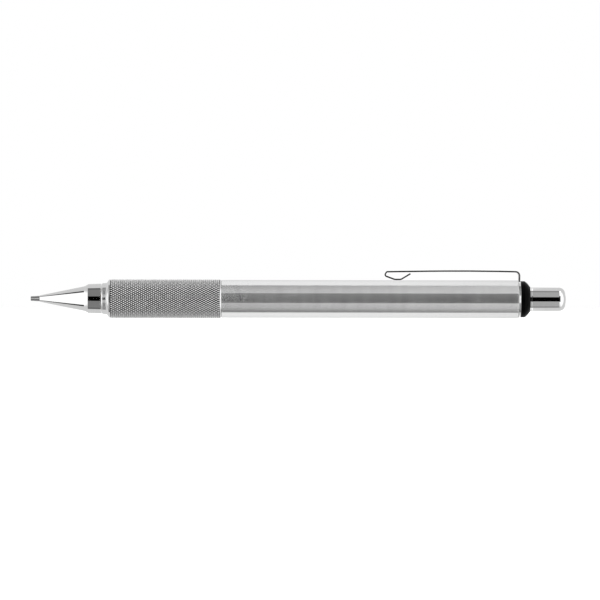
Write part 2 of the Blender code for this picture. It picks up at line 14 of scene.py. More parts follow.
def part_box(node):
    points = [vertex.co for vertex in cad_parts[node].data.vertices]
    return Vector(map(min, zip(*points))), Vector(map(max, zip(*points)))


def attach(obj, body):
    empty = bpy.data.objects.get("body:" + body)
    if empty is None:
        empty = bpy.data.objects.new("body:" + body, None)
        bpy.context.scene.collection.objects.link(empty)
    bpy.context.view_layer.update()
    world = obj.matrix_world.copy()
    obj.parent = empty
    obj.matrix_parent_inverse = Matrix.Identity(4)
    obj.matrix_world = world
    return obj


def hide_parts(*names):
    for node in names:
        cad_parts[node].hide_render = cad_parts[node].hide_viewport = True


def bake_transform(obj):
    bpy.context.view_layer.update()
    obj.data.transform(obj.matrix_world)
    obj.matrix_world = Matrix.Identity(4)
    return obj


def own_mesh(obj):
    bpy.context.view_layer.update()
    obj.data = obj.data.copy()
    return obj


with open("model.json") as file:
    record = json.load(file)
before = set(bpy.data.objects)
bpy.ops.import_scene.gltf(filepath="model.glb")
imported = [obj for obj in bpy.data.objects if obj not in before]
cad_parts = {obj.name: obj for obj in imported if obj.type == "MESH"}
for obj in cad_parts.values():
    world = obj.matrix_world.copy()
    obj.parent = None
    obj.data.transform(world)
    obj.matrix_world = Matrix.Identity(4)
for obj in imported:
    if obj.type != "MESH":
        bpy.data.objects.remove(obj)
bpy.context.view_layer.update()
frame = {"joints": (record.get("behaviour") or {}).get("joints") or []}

MM = 0.001

# ---------------------------------------------------------------- measures read from the frame

TIP_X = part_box("lead_sleeve")[0].x
AXIS_Z = (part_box("barrel")[0].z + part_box("barrel")[1].z) / 2


def station_of(x):
    """Station, in millimetres, of a world X."""
    return (x - TIP_X) / MM


def span(node):
    """Front and rear stations of a CAD node."""
    low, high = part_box(node)
    return station_of(low.x), station_of(high.x)


def radius(node):
    """Outer radius of a turned CAD node, in millimetres."""
    low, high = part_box(node)
    return (high.y - low.y) / 2 / MM


# ---------------------------------------------------------------- driving dimensions, millimetres

FINE_SIDES = 128
SMALL_SIDES = 64
EASE = 0.06
CORNER_ANGLE = math.radians(12)
RUNNING_GAP = 0.05

# the sleeve, the cone and the retainer
LEAD_BORE = 0.40
SLEEVE_MOUTH = 0.57
SLEEVE_SHANK = 0.60
CONE_FRONT_RADIUS = 0.80
FLARE_FRONT = 13.75
FLARE_FRONT_RADIUS = 3.155
FLARE_REAR = 14.70
FLARE_REAR_RADIUS = 3.70
CONE_BEYOND_CAD = 0.13
CONE_REAR_CORNER = 0.05
CONE_THREAD_FRONT = 15.40
CONE_CHUCK_BORE = 2.00
CONE_CHUCK_FRONT = 11.20
CONE_BUSH_BORE = 1.50
CONE_BUSH_FRONT = 8.60
CONE_LEAD_BORE = 0.45
CONE_SOCKET_REAR = 5.55
RETAINER_CHAMFER = 0.25

# the two threads: cone on inner sleeve, and spigot in barrel
THREAD_RADIUS = 2.70
THREAD_PITCH = 0.50
THREAD_DEPTH = 0.22
SPIGOT_RADIUS = 3.70
SPIGOT_PITCH = 0.75
SPIGOT_DEPTH = 0.30
THREAD_SIDES = 60
THREAD_STEPS = 5

# the grip
NOSE_FRONT = 18.16
NOSE_EDGE_RADIUS = 3.74
NOSE_RADIUS = 3.93
NOSE_CHAMFER = 0.25
COVE_FRONT = (19.38, 4.015)
COVE_REAR = (19.95, 4.78)
SHOULDER_FRONT = 20.05
SHOULDER_RISE = 0.13
SHOULDER_TAPER = 0.014
GRIP_BORE = 3.20
GRIP_BORE_FRONT = 21.20
GRIP_REAR_CHAMFER = 0.20
KNURL_STARTS = 54
KNURL_PITCH = 1.027
KNURL_DEPTH = 0.20
KNURL_RUN_OUT = 0.04
KNURL_LAND = 0.50
KNURL_TURN = math.radians(1.47)
KNURL_FIRST_ROW = 20.30
KNURL_ROWS = 55
KNURL_FRONT = 20.48
KNURL_REAR = 48.48

# the barrel, the clip's ring and the collar
BARREL_BORE = 4.25
BARREL_FRONT_CORNER = 0.06
BARREL_REAR_CORNER = 0.08
WASHER_RADIUS = 4.75
WASHER_RISE = 0.046
WASHER_CORNER = 0.04
COLLAR_BEFORE_CAD = 0.04
COLLAR_CORNER = 0.06
COLLAR_CHAMFER = 0.20
COLLAR_SWELL = 0.09
COLLAR_BORE = 3.15
COLLAR_MOUTH = 3.25
COLLAR_CYLINDER_REAR = 126.35

# the button
BUTTON_BORE = 2.60
BUTTON_BORE_REAR = 135.40
BUTTON_TAPER = 0.05
BUTTON_GROOVE_DEPTH = 0.007
BUTTON_GROOVE_STEP = 0.12
BUTTON_CORNER = 1.62
BUTTON_FULLNESS = 2.10
BUTTON_CROWN = 0.20

# the clip
CLIP_THICKNESS = 0.38
CLIP_EDGE = 0.035
CLIP_REAR_WIDTH = 3.60
CLIP_FRONT_WIDTH = 3.20

# the mechanism, the lead tube and the eraser
INNER_THREAD_REAR = 21.25
PARTITION_FRONT = 18.95
PARTITION_REAR = 20.50
PARTITION_BORE = 1.50
SPRING_BORE = 2.65
SPRING_WIRE = 0.20
CHUCK_BORE = 0.75
CHUCK_RING_MOUTH = 1.65
CHUCK_RING_BORE = 1.36
CONNECTOR_WAIST = 2.05
CONNECTOR_FRONT_BORE = 1.20
CONNECTOR_REAR_BORE = 1.80
CONNECTOR_SOCKET_REAR = 35.05
CONNECTOR_FUNNEL_FRONT = 36.00
CONNECTOR_FLANGE = (37.00, 38.15)
TUBE_BORE = 2.10
FERRULE_RADIUS = 2.07
FERRULE_BORE = 1.85
FERRULE_FLANGE = (127.05, 127.60)

# ---------------------------------------------------------------- node-graph helpers


class Graph:
    """Short ways to add and join the nodes of one material or world."""

    def __init__(self, tree):
        self.tree = tree
        tree.nodes.clear()

    def add(self, kind, settings=None, **sockets):
        """A new node: settings are its properties, sockets are values or links, by input name."""
        node = self.tree.nodes.new(kind)
        for name, value in (settings or {}).items():
            setattr(node, name, value)
        for name, value in sockets.items():
            self.plug(node.inputs[name.replace("_", " ")], value)
        return node

    def plug(self, socket, value):
        if isinstance(value, bpy.types.NodeSocket):
            self.tree.links.new(value, socket)
        else:
            socket.default_value = value

    def math(self, operation, first, second=0.0, third=0.0, clamp=False):
        node = self.tree.nodes.new("ShaderNodeMath")
        node.operation = operation
        node.use_clamp = clamp
        for socket, value in zip(node.inputs, (first, second, third)):
            self.plug(socket, value)
        return node.outputs[0]

    def ramp(self, value, from_low, from_high, to_low=0.0, to_high=1.0, smooth=False):
        """A value mapped from one range to another, clamped."""
        node = self.tree.nodes.new("ShaderNodeMapRange")
        node.interpolation_type = "SMOOTHSTEP" if smooth else "LINEAR"
        for socket, number in zip(node.inputs, (value, from_low, from_high, to_low, to_high)):
            self.plug(socket, number)
        return node.outputs[0]

    def mix(self, share, first, second):
        """Number between two numbers."""
        node = self.tree.nodes.new("ShaderNodeMix")
        node.data_type = "FLOAT"
        for socket, value in zip(node.inputs[:1] + node.inputs[2:4], (share, first, second)):
            self.plug(socket, value)
        return node.outputs[0]

    def blend_colour(self, share, first, second):
        node = self.tree.nodes.new("ShaderNodeMix")
        node.data_type = "RGBA"
        self.plug(node.inputs[0], share)
        self.plug(node.inputs[6], first)
        self.plug(node.inputs[7], second)
        return node.outputs[2]

    def noise(self, vector, scale, detail=2.0, roughness=0.5):
        node = self.add(
            "ShaderNodeTexNoise", Vector=vector, Scale=scale, Detail=detail, Roughness=roughness)
        return node.outputs["Fac"]


def new_material(name):
    material = bpy.data.materials.new(name)
    material.use_nodes = True
    return material, Graph(material.node_tree)


def axis_coordinates(graph):
    """Along, across and up from the pencil's axis, and the radius, in metres."""
    place = graph.add("ShaderNodeTexCoord").outputs["Object"]
    split = graph.add("ShaderNodeSeparateXYZ", Vector=place)
    along, across, up = split.outputs
    up = graph.math("SUBTRACT", up, AXIS_Z)
    across_squared = graph.math("MULTIPLY", across, across)
    radial = graph.math("SQRT", graph.math("MULTIPLY_ADD", up, up, across_squared))
    return along, across, up, radial


def lathe_vector(graph, marks_per_mm, turn_scale):
    """Coordinates that change fast along the pencil and slowly round it, as a lathe tool cuts."""
    along, across, up, radial = axis_coordinates(graph)
    path = graph.math("MULTIPLY_ADD", radial, 0.6, along)
    fast = graph.math("MULTIPLY", path, marks_per_mm / MM)
    round_y = graph.math("MULTIPLY", graph.math("DIVIDE", across, radial), turn_scale)
    round_z = graph.math("MULTIPLY", graph.math("DIVIDE", up, radial), turn_scale)
    return graph.add("ShaderNodeCombineXYZ", X=fast, Y=round_y, Z=round_z).outputs[0]


def around_tangent(graph):
    """Tangent that runs round the pencil's axis."""
    return graph.add("ShaderNodeTangent", {"direction_type": "RADIAL", "axis": "X"}).outputs[0]


# ---------------------------------------------------------------- materials


def turned_metal(name, colour, roughness, spread, marks=9.0, bump=0.02, variation=0.05, anisotropy=0.0):
    """Metal turned on a lathe: fine rings, with roughness and tone that vary from ring to ring."""
    material, graph = new_material(name)
    fine = graph.noise(lathe_vector(graph, marks, 0.9), 1.0, detail=4.0, roughness=0.6)
    broad = graph.noise(lathe_vector(graph, marks / 14, 0.6), 1.0, detail=3.0)
    place = graph.add("ShaderNodeTexCoord").outputs["Object"]
    speckle = graph.noise(place, 1500.0, detail=3.0, roughness=0.7)
    tone = graph.math("ADD", graph.math("MULTIPLY", fine, 0.5), graph.math("MULTIPLY", broad, 0.5))
    tone = graph.mix(0.25, tone, speckle)
    dark = (*[c * (1 - variation) for c in colour], 1.0)
    light = (*[min(c * (1 + variation), 1.0) for c in colour], 1.0)
    base = graph.blend_colour(graph.ramp(tone, 0.35, 0.65), dark, light)
    rough = graph.ramp(tone, 0.3, 0.7, roughness - spread, roughness + spread)
    relief = graph.add("ShaderNodeBump", Strength=bump, Distance=0.02 * MM, Height=fine)
    shader = graph.add(
        "ShaderNodeBsdfPrincipled",
        Base_Color=base, Metallic=1.0, Roughness=rough, Normal=relief.outputs[0],
    )
    if anisotropy:
        graph.plug(shader.inputs["Anisotropic"], anisotropy)
        graph.plug(shader.inputs["Anisotropic Rotation"], 0.25)
        graph.plug(shader.inputs["Tangent"], around_tangent(graph))
    graph.add("ShaderNodeOutputMaterial", Surface=shader.outputs[0])
    return material


def knurled_metal(name, colour, valley, crest):
    """Rolled knurl: rougher down in the grooves, with shade painted into its colour there, and slightly
    smoother, burnished flat tops in the full colour.
    """
    material, graph = new_material(name)
    place = graph.add("ShaderNodeTexCoord").outputs["Object"]
    grain = graph.noise(place, 2600.0, detail=3.0, roughness=0.7)
    radial = axis_coordinates(graph)[3]
    half_way = (valley + crest) / 2
    # Painted shade: the colour is a twentieth of itself from half the groove depth down, ramping up to full
    # at the crests by radius alone, with a fine random grain mixed in.
    height = graph.ramp(radial, half_way * MM, crest * MM)
    groove_shade_and_grain = graph.math("MULTIPLY_ADD", graph.math("SUBTRACT", grain, 0.5), 0.25, height, clamp=True)
    # dark is the painted shade colour at the groove bottoms.
    dark = (*[c * 0.05 for c in colour], 1.0)
    base = graph.blend_colour(groove_shade_and_grain, dark, (*colour, 1.0))
    rough = graph.mix(groove_shade_and_grain, 0.75, 0.66)
    relief = graph.add("ShaderNodeBump", Strength=0.06, Distance=0.02 * MM, Height=grain)
    shader = graph.add(
        "ShaderNodeBsdfPrincipled",
        Base_Color=base, Metallic=1.0, Roughness=rough, Normal=relief.outputs[0],
    )
    graph.add("ShaderNodeOutputMaterial", Surface=shader.outputs[0])
    return material


def moulded(name, colour, roughness, spread, grain_scale=900.0, bump=0.05, **constants):
    """Plastic, rubber or graphite: a soft mottle in tone and gloss, with a fine moulded grain."""
    material, graph = new_material(name)
    place = graph.add("ShaderNodeTexCoord").outputs["Object"]
    grain = graph.noise(place, grain_scale * 3, detail=4.0, roughness=0.65)
    mottle = graph.noise(place, grain_scale, detail=2.0)
    dark = (*[c * 0.86 for c in colour], 1.0)
    light = (*[min(c * 1.12, 1.0) for c in colour], 1.0)
    base = graph.blend_colour(graph.ramp(mottle, 0.3, 0.7), dark, light)
    rough = graph.ramp(graph.mix(0.5, mottle, grain), 0.3, 0.7, roughness - spread, roughness + spread)
    relief = graph.add("ShaderNodeBump", Strength=bump, Distance=0.02 * MM, Height=grain)
    shader = graph.add(
        "ShaderNodeBsdfPrincipled",
        Base_Color=base, Metallic=0.0, Roughness=rough, Normal=relief.outputs[0],
    )
    for socket, value in constants.items():
        graph.plug(shader.inputs[socket.replace("_", " ")], value)
    graph.add("ShaderNodeOutputMaterial", Surface=shader.outputs[0])
    return material


BARREL_FINISH = turned_metal(
    "barrel_satin_steel", (0.70, 0.70, 0.70), 0.17, 0.02, variation=0.03, anisotropy=1.0)
TIP_FINISH = turned_metal(
    "tip_polished_steel", (0.78, 0.78, 0.78), 0.035, 0.01, bump=0.005, variation=0.03)
BUTTON_FINISH = turned_metal(
    "button_polished_steel", (0.78, 0.78, 0.78), 0.035, 0.01, bump=0.005, variation=0.03)
SLEEVE_FINISH = turned_metal("sleeve_drawn_steel", (0.42, 0.42, 0.42), 0.09, 0.02)
NOSE_FINISH = turned_metal("nose_polished_steel", (0.80, 0.80, 0.80), 0.08, 0.02, bump=0.01, variation=0.04)
CLIP_FINISH = turned_metal("clip_spring_steel", (0.62, 0.62, 0.62), 0.12, 0.03, bump=0.01)
RING_FINISH = turned_metal("ring_polished_steel", (0.78, 0.78, 0.78), 0.08, 0.02, bump=0.01)
BRASS_FINISH = turned_metal("turned_brass", (0.78, 0.57, 0.27), 0.22, 0.04, variation=0.10)
SPRING_FINISH = turned_metal("spring_wire", (0.50, 0.50, 0.52), 0.24, 0.05)
FERRULE_FINISH = turned_metal("ferrule_aluminium", (0.74, 0.74, 0.75), 0.30, 0.04)
COLLAR_FINISH = moulded("collar_black_plastic", (0.001, 0.001, 0.001), 0.30, 0.04, Specular_IOR_Level=0.03)
CONNECTOR_FINISH = moulded("connector_black_plastic", (0.03, 0.03, 0.03), 0.45, 0.06)
TUBE_FINISH = moulded("tube_frosted_plastic", (0.80, 0.81, 0.82), 0.30, 0.06, Transmission_Weight=0.6)
RUBBER_FINISH = moulded("retainer_rubber", (0.03, 0.03, 0.03), 0.75, 0.08, bump=0.15)
GRAPHITE_FINISH = moulded("graphite", (0.07, 0.07, 0.075), 0.38, 0.08, grain_scale=2500.0)
ERASER_FINISH = moulded("eraser_vinyl", (0.85, 0.85, 0.83), 0.65, 0.08, bump=0.12, Subsurface_Weight=0.1)

# ---------------------------------------------------------------- mesh builders


def world_point(station, height=0.0, across=0.0):
    return Vector((TIP_X + station * MM, across * MM, AXIS_Z + height * MM))


def eased(outline, ease, closed):
    """The outline with each real corner replaced by a small curve, held flat close beside it."""
    count = len(outline)
    points = []
    for index, here in enumerate(outline):
        if not closed and index in (0, count - 1):
            points.append(here)
            continue
        p = Vector(here)
        back = Vector(outline[index - 1]) - p
        ahead = Vector(outline[(index + 1) % count]) - p
        if math.pi - back.angle(ahead, 0.0) < CORNER_ANGLE:
            points.append(here)
            continue
        cut = min(ease, back.length * 0.4, ahead.length * 0.4)
        start = p + back.normalized() * cut
        end = p + ahead.normalized() * cut
        middle = p * 0.5 + (start + end) * 0.25
        if back.length > 6 * cut:
            points.append(tuple(p + back.normalized() * cut * 2))
        points += [tuple(start), tuple(middle), tuple(end)]
        if ahead.length > 6 * cut:
            points.append(tuple(p + ahead.normalized() * cut * 2))
    return points


def finished(shape, name, materials, smooth_angle=40):
    """A mesh object from a bmesh, smooth shaded, its broad faces keeping their own direction."""
    bmesh.ops.recalc_face_normals(shape, faces=shape.faces)
    mesh = bpy.data.meshes.new(name)
    shape.to_mesh(mesh)
    shape.free()
    for material in materials:
        mesh.materials.append(material)
    mesh.shade_smooth()
    mesh.set_sharp_from_angle(angle=math.radians(smooth_angle))
    piece = bpy.data.objects.new(name, mesh)
    bpy.context.scene.collection.objects.link(piece)
    weighted = piece.modifiers.new("weighted", "WEIGHTED_NORMAL")
    weighted.keep_sharp = True
    return piece


def ring_of(shape, station, sides, reach, offset):
    """A ring of vertices whose radius, reach(angle), may change round it; one vertex on the axis."""
    if reach(0.0) <= 0:
        return [shape.verts.new(world_point(station, offset[1], offset[0]))]
    verts = []
    for number in range(sides):
        angle = 2 * math.pi * number / sides
        r = reach(angle)
        verts.append(shape.verts.new(world_point(
            station, r * math.sin(angle) + offset[1], r * math.cos(angle) + offset[0])))
    return verts


def plain_rings(shape, outline, sides, offset=(0.0, 0.0)):
    """Round rings through (station, radius) points."""
    return [ring_of(shape, station, sides, lambda angle, r=r: r, offset) for station, r in outline]


def join_rings(shape, first, second, material_index=0):
    """Faces between two rings of the same count, or between a ring and one vertex."""
    if len(first) == 1 and len(second) == 1:
        return
    count = max(len(first), len(second))
    for index in range(count):
        onward = (index + 1) % count
        corners = [first[index % len(first)], first[onward % len(first)],
                   second[onward % len(second)], second[index % len(second)]]
        face = shape.faces.new(list(dict.fromkeys(corners)))
        face.material_index = material_index


def turned(name, outline, body, material, nodes, sides=FINE_SIDES, ease=EASE, offset=(0.0, 0.0)):
    """A piece turned about the axis from (station, radius) points, solid if it ends on the axis."""
    closed = outline[0][1] > 0
    shape = bmesh.new()
    rings = plain_rings(shape, eased(outline, ease, closed), sides, offset)
    following = rings[1:] + (rings[:1] if closed else [])
    for first, second in zip(rings, following):
        join_rings(shape, first, second)
    return fit(finished(shape, name, [material]), body, nodes)


def fit(piece, body, nodes):
    """Ride a body and stand for CAD nodes."""
    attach(piece, body)
    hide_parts(*nodes)
    return piece


def thread_stations(front, rear, pitch):
    """Stations fine enough to carry a thread."""
    count = round((rear - front) / pitch * THREAD_STEPS)
    return [front + (rear - front) * number / count for number in range(count + 1)]


def thread_reach(station, front, rear, outer, pitch, depth):
    """Radius round a ring of a male thread that runs out over its last turn at each end."""
    fade = min(1.0, (station - front) / pitch, (rear - station) / pitch)

    def reach(angle):
        phase = (station / pitch + angle / (2 * math.pi)) % 1.0
        groove = 1 - abs(2 * phase - 1)
        return outer - depth * groove * max(fade, 0.0)
    return reach


def threaded(name, before, thread, after, body, material, nodes):
    """A turned piece with a male thread cut along one stretch of its outside.

    before and after are the outline's points on either side of the thread; thread is its front,
    rear, outer radius, pitch and depth.
    """
    front, rear, outer, pitch, depth = thread
    shape = bmesh.new()
    sides = THREAD_SIDES * 2
    rings = plain_rings(shape, before, sides)
    for station in thread_stations(front, rear, pitch):
        reach = thread_reach(station, front, rear, outer, pitch, depth)
        rings.append(ring_of(shape, station, sides, reach, (0.0, 0.0)))
    rings += plain_rings(shape, after, sides)
    for first, second in zip(rings, rings[1:] + rings[:1]):
        join_rings(shape, first, second)
    return fit(finished(shape, name, [material], 50), body, nodes)


# ---------------------------------------------------------------- the tip


def tip_pieces():
    front, rear = span("lead_sleeve")
    shoulder = span("tip_cone")[0] - RUNNING_GAP
    turned("sleeve_tube", [
        (front, LEAD_BORE),
        (front, SLEEVE_MOUTH),
        (shoulder, radius("lead_sleeve")),
        (shoulder, SLEEVE_SHANK),
        (rear, SLEEVE_SHANK),
        (rear, LEAD_BORE),
    ], "tip_section", SLEEVE_FINISH, ["lead_sleeve"], ease=0.03)

    front, rear = span("tip_cone")
    wide = radius("tip_cone")
    flare = [(FLARE_FRONT, FLARE_FRONT_RADIUS)]
    steps = 8
    for number in range(1, steps + 1):
        share = number / steps
        bow = 0.75 * share + 0.25 * share ** 2
        flare.append((
            FLARE_FRONT + (FLARE_REAR - FLARE_FRONT) * share,
            FLARE_FRONT_RADIUS + (FLARE_REAR_RADIUS - FLARE_FRONT_RADIUS) * bow,
        ))
    end = rear + CONE_BEYOND_CAD
    bore = THREAD_RADIUS + RUNNING_GAP
    socket = SLEEVE_SHANK + 0.03
    turned("cone_shell", [
        (front, socket),
        (front, CONE_FRONT_RADIUS),
        *flare,
        (end - 0.04, wide),
        (end, wide - CONE_REAR_CORNER),
        (end, bore + 0.15),
        (end - 0.15, bore),
        (CONE_THREAD_FRONT, bore),
        (CONE_THREAD_FRONT, CONE_CHUCK_BORE),
        (CONE_CHUCK_FRONT, CONE_CHUCK_BORE),
        (CONE_CHUCK_FRONT, CONE_BUSH_BORE),
        (CONE_BUSH_FRONT, CONE_BUSH_BORE),
        (CONE_BUSH_FRONT, CONE_LEAD_BORE),
        (CONE_SOCKET_REAR, CONE_LEAD_BORE),
        (CONE_SOCKET_REAR, socket),
    ], "tip_section", TIP_FINISH, ["tip_cone"], ease=0.02)

    front, rear = span("lead_retainer")
    wide = radius("lead_retainer")
    turned("retainer_bush", [
        (front, LEAD_BORE),
        (front, wide - RETAINER_CHAMFER),
        (front + RETAINER_CHAMFER, wide),
        (rear, wide),
        (rear, LEAD_BORE),
    ], "tip_section", RUBBER_FINISH, ["lead_retainer"], sides=SMALL_SIDES)


# ---------------------------------------------------------------- the grip


def grip_front_outline(valley):
    """Polished front of the grip: lead-in chamfer, nose, cove, and a narrow shoulder by the knurl."""
    outline = [
        (NOSE_FRONT, NOSE_EDGE_RADIUS),
        (NOSE_FRONT + NOSE_CHAMFER, NOSE_RADIUS),
        COVE_FRONT,
    ]
    steps = 6
    for number in range(1, steps + 1):
        share = number / steps
        bow = 0.6 * share + 0.4 * share ** 2
        outline.append((
            COVE_FRONT[0] + (COVE_REAR[0] - COVE_FRONT[0]) * share,
            COVE_FRONT[1] + (COVE_REAR[1] - COVE_FRONT[1]) * bow,
        ))
    shoulder = valley + SHOULDER_RISE
    outline += [
        (SHOULDER_FRONT, shoulder),
        (KNURL_FRONT - 0.06, shoulder + SHOULDER_TAPER),
        (KNURL_FRONT - 0.03, valley + 0.02),
    ]
    return outline


def knurl_rows(shape, crest):
    """Rows of flat-topped diamonds between crossing helical grooves; returns the end valley rows."""
    half = KNURL_PITCH / 2
    step = 2 * math.pi / KNURL_STARTS

    def vert(row, number, r, along=0.0, round_=0.0):
        angle = KNURL_TURN + (number + round_) * step
        station = min(max(KNURL_FIRST_ROW + (row + along) * half, KNURL_FRONT), KNURL_REAR)
        return shape.verts.new(world_point(station, r * math.sin(angle), r * math.cos(angle)))

    valleys = []
    for row in range(KNURL_ROWS + 1):
        depth = KNURL_DEPTH if row < KNURL_ROWS else KNURL_RUN_OUT
        valleys.append([vert(row, number + (row % 2) / 2, crest - depth) for number in range(KNURL_STARTS)])
    corner_places = [(0.0, -0.5), (-1.0, 0.0), (0.0, 0.5), (1.0, 0.0)]
    for row in range(KNURL_ROWS + 1):
        for number in range(KNURL_STARTS):
            side = (number + row % 2) % KNURL_STARTS
            corners = [
                valleys[row][number],
                valleys[row - 1][side] if row > 0 else None,
                valleys[row][(number + 1) % KNURL_STARTS],
                valleys[row + 1][side] if row < KNURL_ROWS else None,
            ]
            if None in corners:
                shape.faces.new([corner for corner in corners if corner])
                continue
            middle = number + (row % 2) / 2 + 0.5
            land = [vert(row, middle, crest, along * KNURL_LAND, round_ * KNURL_LAND)
                    for along, round_ in corner_places]
            shape.faces.new(land)
            for index in range(4):
                onward = (index + 1) % 4
                shape.faces.new((corners[index], corners[onward], land[onward], land[index]))
    return valleys[0], valleys[-1]


def knurled_grip():
    """The grip: a polished front, the knurl, a chamfer at the barrel and a threaded spigot behind."""
    polished = 1
    crest = radius("grip")
    valley = crest - KNURL_DEPTH
    bore_front, spigot_rear = span("grip")
    barrel_front = span("barrel")[0]
    sides = KNURL_STARTS * 2
    shape = bmesh.new()
    first_row, last_row = knurl_rows(shape, crest)

    nose_bore = THREAD_RADIUS + RUNNING_GAP
    inner = plain_rings(shape, [
        (spigot_rear, GRIP_BORE),
        (GRIP_BORE_FRONT, GRIP_BORE),
        (GRIP_BORE_FRONT, nose_bore),
        (bore_front, nose_bore),
    ], sides)
    nose = plain_rings(shape, eased(grip_front_outline(valley), 0.02, False), sides)
    chain = inner + nose
    for first, second in zip(chain, chain[1:]):
        join_rings(shape, first, second, polished)
    bridge(shape, nose[-1], first_row, 0, polished)

    tail = plain_rings(shape, [
        (KNURL_REAR + 0.02, crest - 0.03),
        (barrel_front - 0.04, crest - GRIP_REAR_CHAMFER),
        (barrel_front - 0.03, SPIGOT_RADIUS),
    ], sides)
    thread_front, thread_rear = barrel_front + 0.10, spigot_rear - 0.10
    for station in thread_stations(thread_front, thread_rear, SPIGOT_PITCH):
        reach = thread_reach(station, thread_front, thread_rear, SPIGOT_RADIUS, SPIGOT_PITCH, SPIGOT_DEPTH)
        tail.append(ring_of(shape, station, sides, reach, (0.0, 0.0)))
    tail += plain_rings(shape, [(spigot_rear, SPIGOT_RADIUS - 0.25)], sides)
    bridge(shape, tail[0], last_row, KNURL_ROWS % 2, polished)
    for first, second in zip(tail, tail[1:] + inner[:1]):
        join_rings(shape, first, second, polished)
    finish = knurled_metal("knurled_steel", (0.97, 0.97, 0.97), valley, crest)
    piece = finished(shape, "grip_knurled", [finish, NOSE_FINISH], 25)
    fit(piece, "front_section", ["grip"])


def bridge(shape, fine, coarse, half_turned, material_index):
    """Faces between a ring of twice the count and a row of the knurl, which may be half a step on."""
    count = len(coarse)
    for number in range(count):
        onward = (number + 1) % count
        start = 2 * number + half_turned
        trio = [fine[(start + k) % len(fine)] for k in range(3)]
        for corners in (
            (coarse[number], trio[0], trio[1]),
            (coarse[number], trio[1], coarse[onward]),
            (coarse[onward], trio[1], trio[2]),
        ):
            shape.faces.new(corners).material_index = material_index


# ---------------------------------------------------------------- the barrel and its rear end


def barrel_pieces():
    front, rear = span("barrel")
    wide = radius("barrel")
    turned("barrel_tube", [
        (front, BARREL_BORE),
        (front, wide - BARREL_FRONT_CORNER),
        (front + BARREL_FRONT_CORNER, wide),
        (rear - BARREL_REAR_CORNER, wide),
        (rear, wide - BARREL_REAR_CORNER),
        (rear, BARREL_BORE),
    ], "barrel_assembly", BARREL_FINISH, ["barrel"], ease=0.03)

    front, rear = span("barrel_bush")
    turned("bush_ring", [
        (front, SPIGOT_RADIUS + RUNNING_GAP),
        (front, radius("barrel_bush")),
        (rear, radius("barrel_bush")),
        (rear, SPIGOT_RADIUS + RUNNING_GAP),
    ], "barrel_assembly", BRASS_FINISH, ["barrel_bush"], sides=SMALL_SIDES)

    head = span("clip_ring")[1] - COLLAR_BEFORE_CAD
    front = span("barrel")[1] + RUNNING_GAP
    rear = head - RUNNING_GAP
    turned("clip_washer", [
        (front, BARREL_BORE),
        (front, WASHER_RADIUS - WASHER_RISE - WASHER_CORNER),
        (front + WASHER_CORNER, WASHER_RADIUS - WASHER_RISE),
        (rear - WASHER_CORNER, WASHER_RADIUS),
        (rear, WASHER_RADIUS - WASHER_CORNER),
        (rear, BARREL_BORE),
    ], "barrel_assembly", RING_FINISH, ["clip_ring"], ease=0.015)

    front, rear = span("collar")
    wide = radius("collar")
    spigot = BARREL_BORE - 0.03
    outline = [
        (front, COLLAR_BORE),
        (front, spigot - COLLAR_CHAMFER),
        (front + COLLAR_CHAMFER, spigot),
        (head, spigot),
        (head, wide - COLLAR_CORNER),
        (head + COLLAR_CORNER, wide),
        (COLLAR_CYLINDER_REAR, wide),
    ]
    steps = 10
    length = rear - 0.10 - COLLAR_CYLINDER_REAR
    drop = wide - COLLAR_MOUTH
    for number in range(1, steps + 1):
        share = number / steps
        rise = COLLAR_SWELL * math.sin(math.pi * share)
        outline.append((COLLAR_CYLINDER_REAR + length * share + rise, wide - drop * share + rise))
    outline += [(rear, COLLAR_MOUTH - 0.05), (rear, COLLAR_BORE)]
    turned("collar_plug", outline, "barrel_assembly", COLLAR_FINISH, ["collar"],
           ease=0.03)


def button_piece():
    """The button: a cup with a shallow groove by the collar and a full, rounded end."""
    front, rear = span("button_cap")
    wide = radius("button_cap")
    groove = span("collar")[1] + 0.30
    corner = rear - BUTTON_CROWN - BUTTON_CORNER
    side = wide - BUTTON_TAPER
    outline = [
        (BUTTON_BORE_REAR, 0.0),
        (BUTTON_BORE_REAR, BUTTON_BORE - 0.3),
        (BUTTON_BORE_REAR - 0.3, BUTTON_BORE),
        (front, BUTTON_BORE),
        (front, wide - 0.10),
        (front + 0.10, wide),
        (groove, wide),
        (groove + BUTTON_GROOVE_STEP, wide - BUTTON_GROOVE_DEPTH),
        (groove + 2 * BUTTON_GROOVE_STEP, wide - BUTTON_GROOVE_DEPTH),
        (groove + 3 * BUTTON_GROOVE_STEP, wide - 0.002),
    ]
    steps = 20
    for number in range(steps + 1):
        angle = math.pi / 2 * number / steps
        along = math.sin(angle) ** (2 / BUTTON_FULLNESS)
        inward = 1 - math.cos(angle) ** (2 / BUTTON_FULLNESS)
        outline.append((corner + BUTTON_CORNER * along, side - BUTTON_CORNER * inward))
    end_radius = side - BUTTON_CORNER
    dome_steps = 5
    for number in range(1, dome_steps + 1):
        share = number / dome_steps
        outline.append((rear - BUTTON_CROWN * (1 - share) ** 2, end_radius * (1 - share)))
    turned("button_dome", outline, "button", BUTTON_FINISH, ["button_cap"], ease=0.02)


# ---------------------------------------------------------------- the clip


